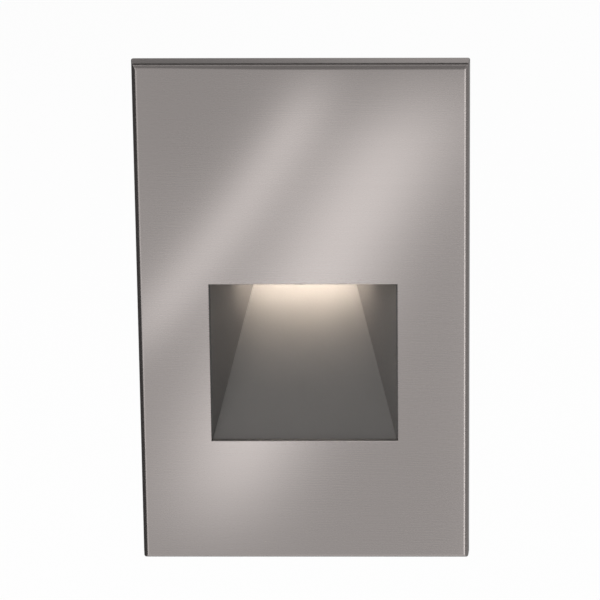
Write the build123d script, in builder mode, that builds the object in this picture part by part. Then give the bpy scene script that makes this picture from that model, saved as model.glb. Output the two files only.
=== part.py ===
from build123d import *
import os
from math import cos, radians, sin, tan

# Recessed step light for a single-gang wall box.
#
# Frame: X to the right, Z up, the light faces -Y. The wall's surface is y = 0, and the origin is the
# centre of the two box screws on it. Pieces in front of the wall have negative y, pieces inside the
# wall box have positive y. All sizes are in millimetres.

os.makedirs("parts", exist_ok=True)

# ---------------------------------------------------------------- driving dimensions

# Wall box
box_screw_spacing = 83.3  # standard single-gang spacing, centre to centre
box_screw_hole = 4.2  # clears a 3.5 mm box screw
box_screw_margin = 6.65  # from a box screw's centre to the can's end wall

# Faceplate
plate_width = 76.2
plate_height = 127.0
plate_depth = 3.5  # visible edge, from the gasket to the front face
front_wall = 1.2
rim_wall = 2.0
side_draft = 4.0  # degrees
edge_radius = 1.2  # rounded front edge
corner_radius = 0.5  # upright corners and the mitres between the rounded edges
opening_width = 43.1
opening_height = 40.5
opening_edge_break = 0.1
boss_diameter = 5.6
boss_height = 1.3
boss_gap = 0.4  # between a boss and the can's flange

# Wall gasket
gasket_inset = 1.0  # how far it stays inside the faceplate's outline
gasket_width = 3.2

# Mounting bracket
bracket_thickness = 1.2
bracket_side_gap = 3.1  # from the strap's side to the faceplate's rim
bracket_end_gap = 3.65  # from a tab's outer face to the faceplate's rim
bracket_corner = 2.0
bracket_shoulder = 3.0  # strap cut back beside the tabs
tab_width = 44.0
tab_front_gap = 0.2  # from a tab's front edge to the faceplate
bend_radius = 0.6  # inside of the tab's bend
window_gap = 1.8  # round the can, at the sides
window_end_gap = 2.25  # round the can, at the ends
window_corner = 4.0

# Set screws in the faceplate's bottom edge
set_screw_diameter = 2.0
set_screw_length = 4.0
set_screw_offset = 14.0  # from the centre line
set_screw_wall = 0.4  # rim left behind a set screw's thread
set_screw_socket = 0.9  # across the flats
set_screw_pad_width = 7.0
set_screw_stand = 0.6  # how far a set screw's tip stands out of its pad
tip_gap = 0.05  # under the tab, and between the top pads and the other tab

# Housing can
can_wall = 1.6
can_side_gap = 0.45  # round the opening, to the can's inner side wall
can_depth = 44.3  # from the flange's back to the can's rear
can_corner = 4.0
can_rear_radius = 1.5
flange_gap = 0.1  # between the flange and the bracket, and the flange and the faceplate
flange_rim = 1.4  # outside the pocket
pocket_corner = 1.6
ear_thickness = 1.2
ear_radius = 4.2
ear_inset = 3.2  # from the can's side wall in to a housing screw

# Housing screws, from behind through the ears into the faceplate's bosses
housing_screw_diameter = 2.5
housing_screw_length = 3.0
housing_screw_head = 4.6
housing_screw_head_height = 1.1
head_window_gap = 1.2  # bracket's relief round each screw head

# Scoop
scoop_wall = 1.2
scoop_flange_thickness = 0.9
scoop_lip = 0.3  # how far the mouth stands in from the opening, at the sides
scoop_depth = 22.8  # mouth to back panel, level with the opening's top
scoop_back_width = 18.4  # back panel's width at that level
sill_gap = 1.2  # from the opening's lower edge to the can's inner end wall
ceiling_rise = 2.2  # ceiling above the opening's top
deck_thickness = 1.6
deck_side_gap = 1.5  # between the deck and the can's side walls
deck_overhang = 1.0  # behind the back panel
pocket_gap = 0.2  # round the scoop's flange
seal_thickness = 0.6
seal_width = 2.0
seal_edge_gap = 0.3

# Lens in the scoop's ceiling
window_length = 22.0
window_depth = 12.0
window_centre_y = 9.2
lens_margin = 2.0  # glass outside the window, each way
lens_thickness = 2.0
lens_seal_thickness = 0.5
lens_seal_width = 1.6
lens_gap = 0.15  # between the glass and its frame
frame_lip = 1.2  # frame's thickness over the glass
frame_wall = 5.85  # beside the glass, where the screws pass
frame_end_wall = 1.85  # in front of and behind the glass
frame_screw_offset = 17.0
frame_screw_diameter = 2.0
frame_screw_length = 6.2
frame_screw_head = 3.8
frame_screw_head_height = 1.1
frame_boss_diameter = 4.0
frame_boss_length = 1.8  # below the deck

# Light engine
led_gap = 3.2  # between the lens frame and the board
led_board_depth = 16.0
led_board_thickness = 1.6
board_corner = 1.0
led_size = 3.0
led_height = 0.7
led_pitch = 6.0
led_count = 4
led_row_gap = 0.7  # from the end of the row to a screw's head
pad_thickness = 0.5
led_screw_diameter = 2.5
led_screw_length = 3.8
led_screw_head = 3.6
led_screw_head_height = 1.2
led_screw_margin = 2.0  # from a screw's centre to the board's end
led_connector_width = 7.0
led_connector_depth = 4.5
led_connector_height = 2.0

# Heat spreader, a Z-section between the board and the can's top wall
spreader_thickness = 2.5
spreader_side_margin = 3.0  # beside the board
spreader_front_margin = 1.0  # in front of the board
spreader_rear_margin = 2.5  # from the board back to the web
spreader_flange = 12.0
spreader_screw_offset = 10.0
spreader_screw_diameter = 3.0
spreader_screw_length = 4.0
spreader_screw_head = 5.6
spreader_screw_head_height = 1.6

# Driver
driver_side_gap = 1.1  # from the board's sides to the can's inner side walls
driver_height = 44.0
driver_thickness = 1.6
driver_end_gap = 0.9  # above the can's lower inner wall
post_height = 4.0
post_diameter = 5.2
post_inset = 3.5  # from the board's edges
driver_screw_diameter = 2.5
driver_screw_length = 4.5
driver_screw_head = 4.4
driver_screw_head_height = 1.2
insulator_thickness = 0.4
insulator_margin = 2.0
insulator_hole_gap = 0.4

# Parts on the driver board, placed in from its nearer side edge and up from its middle
transformer_inset = 11.5
transformer_rise = 1.5
core_width = 16.0
core_depth = 9.0
core_height = 12.0
core_centre_leg = 4.0
core_window = 3.4
core_window_height = 7.0
winding_gap = 0.2
winding_corner = 1.5
bulk_capacitor_inset = 11.0
bulk_capacitor_rise = -10.0
bulk_capacitor_diameter = 10.0
bulk_capacitor_height = 16.0
bulk_capacitor_groove = 3.0
film_capacitor_inset = 15.0
film_capacitor_rise = -15.5
film_capacitor_length = 13.0
film_capacitor_width = 5.5
film_capacitor_height = 11.0
rectifier_inset = 10.0
rectifier_rise = 6.0
rectifier_width = 8.5
rectifier_depth = 6.5
rectifier_height = 2.6
rectifier_leg = 1.2
chip_inset = 11.5
chip_rise = 15.0
chip_length = 4.9
chip_width = 3.9
chip_height = 1.5
chip_leg = 1.0
chip_leg_pitch = 1.27
chip_legs_a_side = 4
varistor_inset = 10.0
varistor_rise = 14.0
varistor_diameter = 7.5
varistor_thickness = 3.5
varistor_lift = 1.0
varistor_leg_pitch = 5.0
component_leg = 0.7
resistor_inset = 12.0
resistor_rise = -9.5
resistor_diameter = 3.6
resistor_length = 9.0
resistor_lift = 0.8
resistor_bend = 2.0

# Leads between the light engine and the driver
lead_diameter = 1.2
lead_turn = 7.3  # first straight run, from the light engine's plug
lead_drop = 2.0  # over the second run
lead_pitch = 2.6
lead_bend_share = 0.45  # of a straight run, taken up by each of its bends
driver_connector_width = 7.0
driver_connector_depth = 6.0
driver_connector_height = 5.0
driver_connector_drop = 4.5  # from the board's top edge down to the plug

# Rear of the can
bushing_x = -9.0
rear_fitting_drop = 13.0  # bushing and earth screw, below the can's top wall
bushing_bore = 7.0
bushing_wall = 1.25
bushing_hole_gap = 0.05
bushing_flange = 1.75  # flange outside the hole
bushing_flange_thickness = 1.5
bushing_barb = 0.45
bushing_barb_length = 2.5
bushing_barb_draft = 10.0  # degrees
earth_x = 10.0
earth_screw_diameter = 4.0
earth_screw_length = 6.0
earth_boss_diameter = 8.0
earth_boss_height = 3.0
earth_washer_diameter = 9.0
earth_washer_thickness = 0.8
earth_head_flats = 7.0
earth_head_height = 2.8
earth_slot_width = 1.0
earth_slot_depth = 1.0

thread_gap = 0.03  # between every screw's thread and its tapped hole
clearance_gap = 0.15  # round every screw in a plain hole
small_fillet = 0.3

# ---------------------------------------------------------------- places worked out from them

# Along Y, from the bracket out to the front face
flange_back_y = -(bracket_thickness + flange_gap)
ear_front_y = flange_back_y - ear_thickness
inner_face_y = ear_front_y - boss_height
front_y = inner_face_y - front_wall
rim_y = front_y + plate_depth
flange_front_y = inner_face_y + flange_gap
scoop_flange_back_y = inner_face_y + scoop_flange_thickness
pocket_floor_y = scoop_flange_back_y + seal_thickness
tab_front_y = inner_face_y + tab_front_gap

# Along Y, from the wall to the can's rear
can_rear_y = flange_back_y + can_depth
can_floor_y = can_rear_y - can_wall
driver_back_y = can_floor_y - post_height
driver_front_y = driver_back_y - driver_thickness

# Can
can_half_height = box_screw_spacing / 2 - box_screw_margin
can_inner_half_height = can_half_height - can_wall
can_inner_half_width = opening_width / 2 + can_side_gap
can_half_width = can_inner_half_width + can_wall
pocket_ledge = seal_width + 2 * seal_edge_gap
pocket_width = 2 * (can_inner_half_width + pocket_ledge)
pocket_height = 2 * (can_inner_half_height + pocket_ledge)
flange_width = pocket_width + 2 * flange_rim
flange_height = pocket_height + 2 * flange_rim
housing_screw_x = can_half_width - ear_inset
housing_screw_z = flange_height / 2 + boss_gap + boss_diameter / 2
housing_screw_places = [(x, z) for x in (-housing_screw_x, housing_screw_x)
                        for z in (-housing_screw_z, housing_screw_z)]

# Opening in the faceplate
opening_bottom = -can_inner_half_height + sill_gap
opening_top = opening_bottom + opening_height
opening_middle = (opening_top + opening_bottom) / 2

# Faceplate's rounded edge, its inside and the bracket in it
draft_angle = radians(side_draft)
rounding_centre_y = front_y + edge_radius
rounding_end_y = rounding_centre_y - edge_radius * sin(draft_angle)
rounding_inset = (rim_y - rounding_centre_y) * tan(draft_angle) + edge_radius / cos(draft_angle)
inner_width = plate_width - 2 * rim_wall
inner_height = plate_height - 2 * rim_wall
bracket_width = inner_width - 2 * bracket_side_gap
bracket_height = inner_height - 2 * bracket_end_gap
set_screw_y = rim_y - set_screw_wall - set_screw_diameter / 2
set_screw_top = -bracket_height / 2 - tip_gap
pad_height = inner_height / 2 - bracket_height / 2 - tip_gap
lower_pad_height = pad_height - set_screw_stand

# Scoop
mouth_half_width = opening_width / 2 - scoop_lip
side_slope = (mouth_half_width - scoop_back_width / 2) / scoop_depth
side_wall_step = scoop_wall * (1 + side_slope**2) ** 0.5
panel_slope = scoop_depth / opening_height
ceiling_z = opening_top + ceiling_rise
deck_top = ceiling_z + deck_thickness
panel_wall_step = scoop_wall * (1 + panel_slope**2) ** 0.5
deck_rear_y = inner_face_y + panel_slope * (deck_top - opening_bottom) + panel_wall_step + deck_overhang
deck_half_width = can_inner_half_width - deck_side_gap

# Lens and light engine, upwards from the scoop's deck
lens_bottom = deck_top + lens_seal_thickness
lens_top = lens_bottom + lens_thickness
frame_top = lens_top + frame_lip
lens_length = window_length + 2 * lens_margin
lens_depth = window_depth + 2 * lens_margin
frame_length = lens_length + 2 * (lens_gap + frame_wall)
frame_depth = lens_depth + 2 * (lens_gap + frame_end_wall)
led_screw_offset = (led_pitch * (led_count - 1) + led_size) / 2 + led_row_gap + led_screw_head / 2
led_board_length = 2 * (led_screw_offset + led_screw_margin)
led_board_bottom = frame_top + led_gap
led_board_top = led_board_bottom + led_board_thickness
pad_top = led_board_top + pad_thickness
spreader_base_top = pad_top + spreader_thickness
spreader_length = led_board_length + 2 * spreader_side_margin
led_board_front_y = window_centre_y - led_board_depth / 2
led_board_rear_y = window_centre_y + led_board_depth / 2
spreader_front_y = led_board_front_y - spreader_front_margin
web_front_y = led_board_rear_y + spreader_rear_margin
web_rear_y = web_front_y + spreader_thickness
spreader_rear_y = web_rear_y + spreader_flange
spreader_screw_y = web_rear_y + spreader_flange / 2

# Driver board
driver_bottom = -can_inner_half_height + driver_end_gap
driver_top = driver_bottom + driver_height
driver_middle = (driver_top + driver_bottom) / 2
driver_width = 2 * (can_inner_half_width - driver_side_gap)
post_x = driver_width / 2 - post_inset
post_z = driver_height / 2 - post_inset
post_places = [(x, driver_middle + z) for x in (-post_x, post_x) for z in (-post_z, post_z)]

transformer_x = transformer_inset - driver_width / 2
film_capacitor_x = film_capacitor_inset - driver_width / 2
varistor_x = varistor_inset - driver_width / 2
resistor_x = resistor_inset - driver_width / 2
bulk_capacitor_x = driver_width / 2 - bulk_capacitor_inset
rectifier_x = driver_width / 2 - rectifier_inset
chip_x = driver_width / 2 - chip_inset

transformer_z = driver_middle + transformer_rise
bulk_capacitor_z = driver_middle + bulk_capacitor_rise
film_capacitor_z = driver_middle + film_capacitor_rise
rectifier_z = driver_middle + rectifier_rise
chip_z = driver_middle + chip_rise
varistor_z = driver_middle + varistor_rise
resistor_z = driver_middle + resistor_rise

driver_connector_top = driver_top - driver_connector_drop
driver_lead_y = driver_front_y - driver_connector_depth / 2
led_lead_z = led_board_bottom - led_connector_height / 2
lead_turn_y = led_board_rear_y + lead_turn

rear_fitting_z = can_inner_half_height - rear_fitting_drop


def wall_plane(y):
    """A plane parallel to the wall at y, on which a positive extrusion goes towards the front."""
    return Plane.XZ.offset(-y)


def level(z):
    """A horizontal plane at z."""
    return Plane.XY.offset(z)


# ---------------------------------------------------------------- faceplate and wall gasket

height_plane = Plane(origin=(0, 0, 0), x_dir=(0, 0, 1), z_dir=(-1, 0, 0))

with BuildPart() as faceplate:
    with BuildSketch(wall_plane(rim_y)):
        Rectangle(plate_width, plate_height)
    extrude(amount=plate_depth, taper=side_draft)
    # rounded front edge: a bar with a hollow side is cut from each edge, so the roundings meet in mitres
    for plane, size in ((Plane.XY, plate_width), (height_plane, plate_height)):
        with BuildSketch(plane):
            with Locations((0, rounding_end_y)):
                Rectangle(size + edge_radius, 2 * edge_radius, align=(Align.CENTER, Align.MAX))
                Rectangle(size - 2 * rounding_inset, 2 * edge_radius, align=(Align.CENTER, Align.MAX),
                          mode=Mode.SUBTRACT)
            with Locations((rounding_inset - size / 2, rounding_centre_y),
                           (size / 2 - rounding_inset, rounding_centre_y)):
                Circle(edge_radius, mode=Mode.SUBTRACT)
        extrude(amount=plate_height, both=True, mode=Mode.SUBTRACT)
    level_edges = faceplate.edges().filter_by(Axis.X) + faceplate.edges().filter_by(Axis.Z)
    fillet(faceplate.edges() - level_edges, radius=corner_radius)
    with BuildSketch(wall_plane(rim_y)):
        Rectangle(inner_width, inner_height)
    extrude(amount=plate_depth - front_wall, mode=Mode.SUBTRACT)
    # bosses for the housing screws
    with BuildSketch(wall_plane(ear_front_y)):
        with Locations(*housing_screw_places):
            Circle(boss_diameter / 2)
    extrude(amount=boss_height)
    # pads inside the rim: the lower ones hold the set screws, the upper ones rest on the bracket
    with BuildSketch(wall_plane(rim_y)):
        for side in (-1, 1):
            with Locations((side * set_screw_offset, inner_height / 2 - pad_height / 2)):
                Rectangle(set_screw_pad_width, pad_height)
            with Locations((side * set_screw_offset, -inner_height / 2 + lower_pad_height / 2)):
                Rectangle(set_screw_pad_width, lower_pad_height)
    extrude(amount=plate_depth - front_wall)
    # opening
    with BuildSketch(wall_plane(inner_face_y)):
        with Locations((0, opening_middle)):
            Rectangle(opening_width, opening_height)
    extrude(amount=front_wall, mode=Mode.SUBTRACT)
    front_face = faceplate.faces().filter_by(Axis.Y).sort_by(Axis.Y)[0]
    chamfer(front_face.inner_wires()[0].edges(), length=opening_edge_break)
    # blind threads in the bosses
    with BuildSketch(wall_plane(ear_front_y)):
        with Locations(*housing_screw_places):
            Circle(housing_screw_diameter / 2 + thread_gap)
    extrude(amount=housing_screw_length - ear_thickness + 2 * thread_gap, mode=Mode.SUBTRACT)
    # set screw threads, up through the bottom rim and its pads
    with BuildSketch(level(-plate_height / 2)):
        with Locations((-set_screw_offset, set_screw_y), (set_screw_offset, set_screw_y)):
            Circle(set_screw_diameter / 2 + thread_gap)
    extrude(amount=rim_wall + pad_height, mode=Mode.SUBTRACT)
faceplate.part.label = "faceplate"
export_step(faceplate.part, "parts/faceplate.step")

with BuildPart() as wall_gasket:
    with BuildSketch(wall_plane(0)):
        outer_width = plate_width - 2 * gasket_inset
        outer_height = plate_height - 2 * gasket_inset
        RectangleRounded(outer_width, outer_height, corner_radius)
        Rectangle(outer_width - 2 * gasket_width, outer_height - 2 * gasket_width, mode=Mode.SUBTRACT)
    extrude(amount=-rim_y)
wall_gasket.part.label = "wall_gasket"
export_step(wall_gasket.part, "parts/wall_gasket.step")

# ---------------------------------------------------------------- mounting bracket and set screws

with BuildPart() as mounting_bracket:
    with BuildSketch(wall_plane(0)):
        RectangleRounded(bracket_width, bracket_height - 2 * bracket_shoulder, bracket_corner)
        Rectangle(tab_width, bracket_height)
        window_width = 2 * (can_half_width + window_gap)
        window_height = 2 * (can_half_height + window_end_gap)
        RectangleRounded(window_width, window_height, window_corner, mode=Mode.SUBTRACT)
        with GridLocations(0, box_screw_spacing, 1, 2):
            Circle(box_screw_hole / 2, mode=Mode.SUBTRACT)
        with Locations(*housing_screw_places):
            Circle(housing_screw_head / 2 + head_window_gap, mode=Mode.SUBTRACT)
    extrude(amount=bracket_thickness)
    # tabs bent forward at the top and the bottom
    for side, edge_align in ((1, Align.MAX), (-1, Align.MIN)):
        with BuildSketch(wall_plane(0)):
            with Locations((0, side * bracket_height / 2)):
                Rectangle(tab_width, bracket_thickness, align=(Align.CENTER, edge_align))
        extrude(amount=-tab_front_y)
    level_edges = mounting_bracket.edges().filter_by(Axis.X)
    back_edges = level_edges.group_by(Axis.Y)[-1]
    fillet(back_edges.group_by(Axis.Z)[0] + back_edges.group_by(Axis.Z)[-1],
           radius=bracket_thickness + bend_radius)
    tab_inner_z = bracket_height / 2 - bracket_thickness
    for side in (-1, 1):
        tab_foot = (0, -bracket_thickness, side * tab_inner_z)
        fillet(mounting_bracket.edges().filter_by(Axis.X).sort_by_distance(tab_foot)[0], radius=bend_radius)
mounting_bracket.part.label = "mounting_bracket"
export_step(mounting_bracket.part, "parts/mounting_bracket.step")

for side, name in ((-1, "set_screw_left"), (1, "set_screw_right")):
    with BuildPart() as set_screw:
        with BuildSketch(level(set_screw_top)):
            with Locations((side * set_screw_offset, set_screw_y)):
                Circle(set_screw_diameter / 2)
        extrude(amount=-set_screw_length)
        chamfer(set_screw.edges().filter_by(GeomType.CIRCLE), length=small_fillet / 2)
        # hexagon socket in the lower end
        with BuildSketch(level(set_screw_top - set_screw_length)):
            with Locations((side * set_screw_offset, set_screw_y)):
                RegularPolygon(set_screw_socket / 2, 6, major_radius=False)
        extrude(amount=set_screw_length / 2, mode=Mode.SUBTRACT)
    set_screw.part.label = name
    export_step(set_screw.part, f"parts/{name}.step")

# ---------------------------------------------------------------- housing can and its screws

with BuildPart() as housing:
    with BuildSketch(wall_plane(flange_back_y)):
        RectangleRounded(flange_width, flange_height, pocket_corner + flange_rim)
    extrude(amount=flange_back_y - flange_front_y)
    # ears for the housing screws, thinner than the flange so that they sit on the bosses
    with BuildSketch(wall_plane(flange_back_y)):
        with Locations(*housing_screw_places):
            Circle(ear_radius)
        for side_x in (-1, 1):
            with Locations((side_x * housing_screw_x, 0)):
                Rectangle(2 * ear_radius, 2 * housing_screw_z)
    extrude(amount=ear_thickness)
    # can
    with BuildSketch(wall_plane(flange_back_y)):
        RectangleRounded(2 * can_half_width, 2 * can_half_height, can_corner)
    extrude(amount=-can_depth)
    fillet(housing.faces().sort_by(Axis.Y)[-1].outer_wire().edges(), radius=can_rear_radius)
    # pocket for the seal and the scoop's flange, then the can's hollow
    with BuildSketch(wall_plane(flange_front_y)):
        RectangleRounded(pocket_width, pocket_height, pocket_corner)
    extrude(amount=flange_front_y - pocket_floor_y, mode=Mode.SUBTRACT)
    with BuildSketch(wall_plane(pocket_floor_y)):
        RectangleRounded(2 * can_inner_half_width, 2 * can_inner_half_height, can_corner - can_wall)
    extrude(amount=pocket_floor_y - can_floor_y, mode=Mode.SUBTRACT)
    # posts for the driver board, and a boss for the earth screw
    with BuildSketch(wall_plane(can_floor_y)):
        with Locations(*post_places):
            Circle(post_diameter / 2)
    extrude(amount=post_height)
    with BuildSketch(wall_plane(can_floor_y)):
        with Locations((earth_x, rear_fitting_z)):
            Circle(earth_boss_diameter / 2)
    extrude(amount=earth_boss_height)
    # threads in the posts, and holes in the rear wall
    with BuildSketch(wall_plane(driver_back_y)):
        with Locations(*post_places):
            Circle(driver_screw_diameter / 2 + thread_gap)
    extrude(amount=-(driver_screw_length - driver_thickness + 2 * thread_gap), mode=Mode.SUBTRACT)
    with BuildSketch(wall_plane(can_rear_y)):
        with Locations((bushing_x, rear_fitting_z)):
            Circle(bushing_bore / 2 + bushing_wall + bushing_hole_gap)
        with Locations((earth_x, rear_fitting_z)):
            Circle(earth_screw_diameter / 2 + thread_gap)
    extrude(amount=can_wall + earth_boss_height, mode=Mode.SUBTRACT)
    # holes for the housing screws in the ears, and for the spreader screws in the top wall
    with BuildSketch(wall_plane(flange_back_y)):
        with Locations(*housing_screw_places):
            Circle(housing_screw_diameter / 2 + clearance_gap)
    extrude(amount=ear_thickness, mode=Mode.SUBTRACT)
    with BuildSketch(level(can_inner_half_height)):
        with Locations((-spreader_screw_offset, spreader_screw_y), (spreader_screw_offset, spreader_screw_y)):
            Circle(spreader_screw_diameter / 2 + clearance_gap)
    extrude(amount=can_wall, mode=Mode.SUBTRACT)
housing.part.label = "housing"
export_step(housing.part, "parts/housing.step")

with BuildPart() as housing_screws:
    with BuildSketch(wall_plane(flange_back_y)):
        with Locations(*housing_screw_places):
            Circle(housing_screw_head / 2)
    extrude(amount=-housing_screw_head_height)
    fillet(housing_screws.edges().group_by(Axis.Y)[-1], radius=small_fillet)
    with BuildSketch(wall_plane(flange_back_y)):
        with Locations(*housing_screw_places):
            Circle(housing_screw_diameter / 2)
    extrude(amount=housing_screw_length)
    # cross recess
    with BuildSketch(wall_plane(flange_back_y + housing_screw_head_height)):
        with Locations(*housing_screw_places):
            Rectangle(housing_screw_head / 2, small_fillet)
            Rectangle(small_fillet, housing_screw_head / 2)
    extrude(amount=housing_screw_head_height / 2, mode=Mode.SUBTRACT)
housing_screws.part.label = "housing_screws"
export_step(housing_screws.part, "parts/housing_screws.step")

# ---------------------------------------------------------------- scoop and its seal

panel_foot = (0, inner_face_y, opening_bottom)
panel_outward = (0, 1, -panel_slope)
panel_plane = Plane(origin=panel_foot, x_dir=(1, 0, 0), z_dir=panel_outward)
scoop_reach = deck_rear_y - inner_face_y

with BuildPart() as scoop_hollow:
    with BuildSketch(level(opening_bottom)):
        with BuildLine():
            rear_half_width = mouth_half_width - side_slope * scoop_reach
            Polyline((-mouth_half_width, inner_face_y), (mouth_half_width, inner_face_y),
                     (rear_half_width, deck_rear_y), (-rear_half_width, deck_rear_y), close=True)
        make_face()
    extrude(amount=ceiling_z - opening_bottom)
    split(bisect_by=panel_plane, keep=Keep.BOTTOM)

with BuildPart() as scoop:
    # walls: the hollow's outline moved out by the wall, cut off behind the back panel
    with BuildSketch(level(opening_bottom - panel_wall_step / panel_slope)):
        with BuildLine():
            outer_mouth = mouth_half_width + side_wall_step
            outer_rear = rear_half_width + side_wall_step
            Polyline((-outer_mouth, inner_face_y), (outer_mouth, inner_face_y),
                     (outer_rear, deck_rear_y), (-outer_rear, deck_rear_y), close=True)
        make_face()
    extrude(amount=deck_top - opening_bottom + panel_wall_step / panel_slope)
    split(bisect_by=panel_plane.offset(scoop_wall), keep=Keep.BOTTOM)
    # flange behind the faceplate, closing the can's mouth
    with BuildSketch(wall_plane(scoop_flange_back_y)):
        RectangleRounded(pocket_width - 2 * pocket_gap, pocket_height - 2 * pocket_gap, pocket_corner)
    extrude(amount=scoop_flange_thickness)
    # deck that carries the lens, with bosses for the frame's screws
    with BuildSketch(level(ceiling_z)):
        with Locations((0, scoop_flange_back_y)):
            Rectangle(2 * deck_half_width, deck_rear_y - scoop_flange_back_y, align=(Align.CENTER, Align.MIN))
    extrude(amount=deck_thickness)
    with BuildSketch(level(ceiling_z)):
        with Locations((-frame_screw_offset, window_centre_y), (frame_screw_offset, window_centre_y)):
            Circle(frame_boss_diameter / 2)
    extrude(amount=-frame_boss_length)
    add(scoop_hollow.part, mode=Mode.SUBTRACT)
    # window for the lens and threads for the frame's screws
    with BuildSketch(level(ceiling_z)):
        with Locations((0, window_centre_y)):
            Rectangle(window_length, window_depth)
    extrude(amount=deck_thickness, mode=Mode.SUBTRACT)
    with BuildSketch(level(deck_top)):
        with Locations((-frame_screw_offset, window_centre_y), (frame_screw_offset, window_centre_y)):
            Circle(frame_screw_diameter / 2 + thread_gap)
    extrude(amount=-(frame_screw_length - frame_top + deck_top + 2 * thread_gap), mode=Mode.SUBTRACT)
scoop.part.label = "scoop"
export_step(scoop.part, "parts/scoop.step")

with BuildPart() as scoop_seal:
    with BuildSketch(wall_plane(pocket_floor_y)):
        seal_outer_width = pocket_width - 2 * seal_edge_gap
        seal_outer_height = pocket_height - 2 * seal_edge_gap
        RectangleRounded(seal_outer_width, seal_outer_height, pocket_corner)
        Rectangle(seal_outer_width - 2 * seal_width, seal_outer_height - 2 * seal_width, mode=Mode.SUBTRACT)
    extrude(amount=seal_thickness)
scoop_seal.part.label = "scoop_seal"
export_step(scoop_seal.part, "parts/scoop_seal.step")

# ---------------------------------------------------------------- lens, its seal and its frame

with BuildPart() as lens_seal:
    with BuildSketch(level(deck_top)):
        with Locations((0, window_centre_y)):
            Rectangle(lens_length, lens_depth)
            Rectangle(lens_length - 2 * lens_seal_width, lens_depth - 2 * lens_seal_width, mode=Mode.SUBTRACT)
    extrude(amount=lens_seal_thickness)
lens_seal.part.label = "lens_seal"
export_step(lens_seal.part, "parts/lens_seal.step")

with BuildPart() as lens:
    with BuildSketch(level(lens_bottom)):
        with Locations((0, window_centre_y)):
            RectangleRounded(lens_length, lens_depth, small_fillet)
    extrude(amount=lens_thickness)
    chamfer(lens.faces().sort_by(Axis.Z)[-1].edges(), length=small_fillet)
lens.part.label = "lens"
export_step(lens.part, "parts/lens.step")

with BuildPart() as lens_frame:
    with BuildSketch(level(deck_top)):
        with Locations((0, window_centre_y)):
            RectangleRounded(frame_length, frame_depth, 2 * small_fillet)
    extrude(amount=frame_top - deck_top)
    with BuildSketch(level(deck_top)):
        with Locations((0, window_centre_y)):
            Rectangle(lens_length + 2 * lens_gap, lens_depth + 2 * lens_gap)
    extrude(amount=lens_top - deck_top, mode=Mode.SUBTRACT)
    with BuildSketch(level(lens_top)):
        with Locations((0, window_centre_y)):
            Rectangle(window_length, window_depth)
    extrude(amount=frame_lip, mode=Mode.SUBTRACT)
    with BuildSketch(level(deck_top)):
        with Locations((-frame_screw_offset, window_centre_y), (frame_screw_offset, window_centre_y)):
            Circle(frame_screw_diameter / 2 + clearance_gap)
    extrude(amount=frame_top - deck_top, mode=Mode.SUBTRACT)
lens_frame.part.label = "lens_frame"
export_step(lens_frame.part, "parts/lens_frame.step")

with BuildPart() as lens_frame_screws:
    with Locations((-frame_screw_offset, window_centre_y, frame_top),
                   (frame_screw_offset, window_centre_y, frame_top)):
        Cylinder(frame_screw_head / 2, frame_screw_head_height, align=(Align.CENTER, Align.CENTER, Align.MIN))
        Cylinder(frame_screw_diameter / 2, frame_screw_length, align=(Align.CENTER, Align.CENTER, Align.MAX))
    fillet(lens_frame_screws.edges().group_by(Axis.Z)[-1], radius=small_fillet)
lens_frame_screws.part.label = "lens_frame_screws"
export_step(lens_frame_screws.part, "parts/lens_frame_screws.step")

# ---------------------------------------------------------------- light engine and heat spreader

led_screw_places = [(-led_screw_offset, window_centre_y), (led_screw_offset, window_centre_y)]

with BuildPart() as led_board:
    with BuildSketch(level(led_board_bottom)):
        with Locations((0, window_centre_y)):
            RectangleRounded(led_board_length, led_board_depth, board_corner)
        with Locations(*led_screw_places):
            Circle(led_screw_diameter / 2 + clearance_gap, mode=Mode.SUBTRACT)
    extrude(amount=led_board_thickness)
led_board.part.label = "led_board"
export_step(led_board.part, "parts/led_board.step")

with BuildPart() as led_emitters:
    with BuildSketch(level(led_board_bottom)):
        with Locations((0, window_centre_y)):
            with GridLocations(led_pitch, 0, led_count, 1):
                Rectangle(led_size, led_size)
    extrude(amount=-led_height)
led_emitters.part.label = "led_emitters"
export_step(led_emitters.part, "parts/led_emitters.step")

with BuildPart() as led_connector:
    with BuildSketch(level(led_board_bottom)):
        with Locations((0, led_board_rear_y)):
            Rectangle(led_connector_width, led_connector_depth, align=(Align.CENTER, Align.MAX))
    extrude(amount=-led_connector_height)
    fillet(led_connector.edges().filter_by(Axis.Z), radius=small_fillet)
led_connector.part.label = "led_connector"
export_step(led_connector.part, "parts/led_connector.step")

with BuildPart() as thermal_pad:
    with BuildSketch(level(led_board_top)):
        with Locations((0, window_centre_y)):
            Rectangle(led_board_length, led_board_depth)
        with Locations(*led_screw_places):
            Circle(led_screw_diameter / 2 + clearance_gap, mode=Mode.SUBTRACT)
    extrude(amount=pad_thickness)
thermal_pad.part.label = "thermal_pad"
export_step(thermal_pad.part, "parts/thermal_pad.step")

with BuildPart() as led_board_screws:
    with Locations(*[(x, y, led_board_bottom) for x, y in led_screw_places]):
        Cylinder(led_screw_head / 2, led_screw_head_height, align=(Align.CENTER, Align.CENTER, Align.MAX))
        Cylinder(led_screw_diameter / 2, led_screw_length, align=(Align.CENTER, Align.CENTER, Align.MIN))
    fillet(led_board_screws.edges().group_by(Axis.Z)[0], radius=small_fillet)
led_board_screws.part.label = "led_board_screws"
export_step(led_board_screws.part, "parts/led_board_screws.step")

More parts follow.
